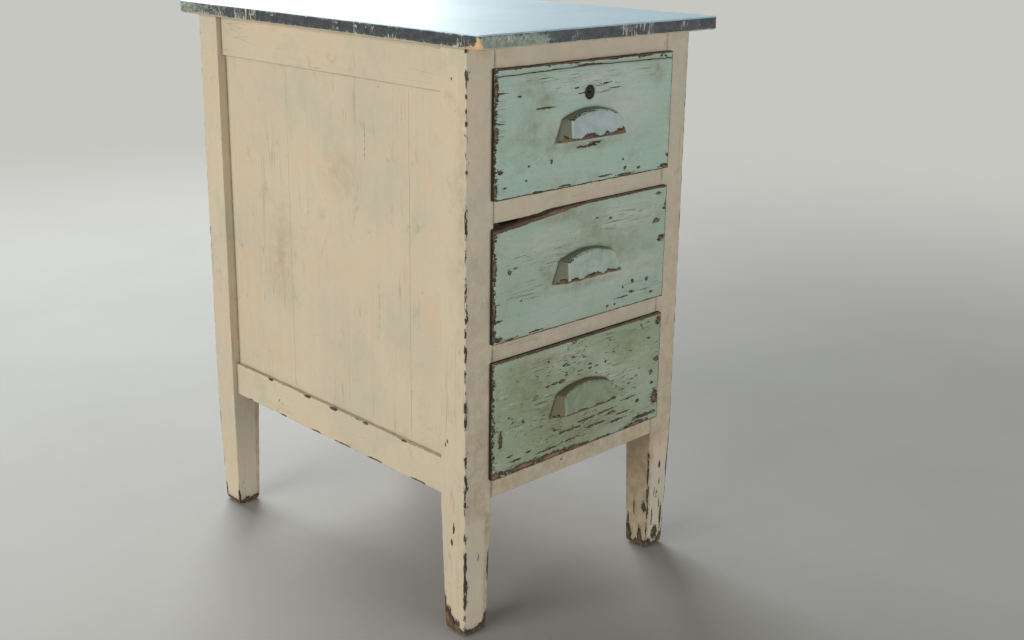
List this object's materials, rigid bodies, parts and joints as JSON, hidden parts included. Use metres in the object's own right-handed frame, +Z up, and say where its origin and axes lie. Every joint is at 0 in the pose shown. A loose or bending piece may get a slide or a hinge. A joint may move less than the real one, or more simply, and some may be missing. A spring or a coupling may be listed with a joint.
{
  "type": "three-drawer cabinet",
  "caption": "Floor-standing painted wooden cabinet on tapered legs, with a column of lipped drawers, half-moon pulls and a drawer lock.",
  "frame": {"origin": "on the floor, under the middle of the top board", "axes": "+Z up, -Y out of the drawer fronts, +X to the right as seen from the front"},
  "size_m": [0.42, 0.626, 0.76],
  "materials": {
    "cream_paint": "old yellowed cream oil paint, satin, chipped at the edges",
    "mint_paint": "old mint green oil paint, satin, cracked along the grain and chipped",
    "pale_blue_paint": "pale blue-grey oil paint worn to the wood below",
    "top_paint": "pale blue gloss paint over dark navy, scratched at the edges",
    "bare_wood": "aged unpainted softwood, matt",
    "plywood": "aged thin plywood, matt",
    "iron": "dark iron with a little rust",
    "steel": "dull steel"
  },
  "bodies": {
    "cabinet": {"post_front_left": "cream_paint", "post_front_right": "cream_paint", "post_back_left": "cream_paint", "post_back_right": "cream_paint", "side_top_rail_left": "cream_paint", "side_top_rail_right": "cream_paint", "side_bottom_rail_left": "cream_paint", "side_bottom_rail_right": "cream_paint", "side_panel_left": "cream_paint", "side_panel_right": "cream_paint", "back_top_rail": "cream_paint", "back_bottom_rail": "cream_paint", "back_panel": "cream_paint", "front_top_rail": "cream_paint", "front_rail_1": "cream_paint", "front_rail_2": "cream_paint", "front_bottom_rail": "cream_paint", "runner_1_left": "bare_wood", "runner_1_right": "bare_wood", "runner_2_left": "bare_wood", "runner_2_right": "bare_wood", "runner_3_left": "bare_wood", "runner_3_right": "bare_wood", "kicker_left": "bare_wood", "kicker_right": "bare_wood", "top_board": "top_paint", "top_glue_blocks": "bare_wood"},
    "drawer_1": {"drawer_1_front": "mint_paint", "drawer_1_side_left": "bare_wood", "drawer_1_side_right": "bare_wood", "drawer_1_back": "bare_wood", "drawer_1_bottom": "plywood", "drawer_1_nails": "steel", "drawer_1_pull": "pale_blue_paint", "drawer_1_pull_screws": "steel", "drawer_1_lip_strip": "mint_paint", "drawer_1_strip_nails": "steel", "lock_case": "iron", "lock_screws": "steel"},
    "drawer_2": {"drawer_2_front": "mint_paint", "drawer_2_side_left": "bare_wood", "drawer_2_side_right": "bare_wood", "drawer_2_back": "bare_wood", "drawer_2_bottom": "plywood", "drawer_2_nails": "steel", "drawer_2_pull": "pale_blue_paint", "drawer_2_pull_screws": "steel"},
    "drawer_3": {"drawer_3_front": "mint_paint", "drawer_3_side_left": "bare_wood", "drawer_3_side_right": "bare_wood", "drawer_3_back": "bare_wood", "drawer_3_bottom": "plywood", "drawer_3_nails": "steel", "drawer_3_pull": "mint_paint", "drawer_3_pull_screws": "steel"},
    "lock_plug": {"lock_plug": "iron"},
    "lock_bolt": {"lock_bolt": "steel"}
  },
  "joints": [
    {"name": "drawer_1_slide", "type": "slide", "parent": "cabinet", "child": "drawer_1", "axis": [0, -1, 0], "range_m": [0, 0.4]},
    {"name": "drawer_2_slide", "type": "slide", "parent": "cabinet", "child": "drawer_2", "axis": [0, -1, 0], "range_m": [0, 0.4]},
    {"name": "drawer_3_slide", "type": "slide", "parent": "cabinet", "child": "drawer_3", "axis": [0, -1, 0], "range_m": [0, 0.4]},
    {"name": "lock_plug_turn", "type": "hinge", "parent": "drawer_1", "child": "lock_plug", "pos_m": [0, -0.2843, 0.677], "axis": [0, 1, 0], "range_deg": [0, 90]},
    {"name": "lock_bolt_lift", "type": "slide", "parent": "drawer_1", "child": "lock_bolt", "axis": [0, 0, 1], "range_m": [0, 0.0071]}
  ],
  "couplings": [
    {"joint": "lock_bolt_lift", "follows": "lock_plug_turn", "m_per_rad": 0.0045016}
  ]
}
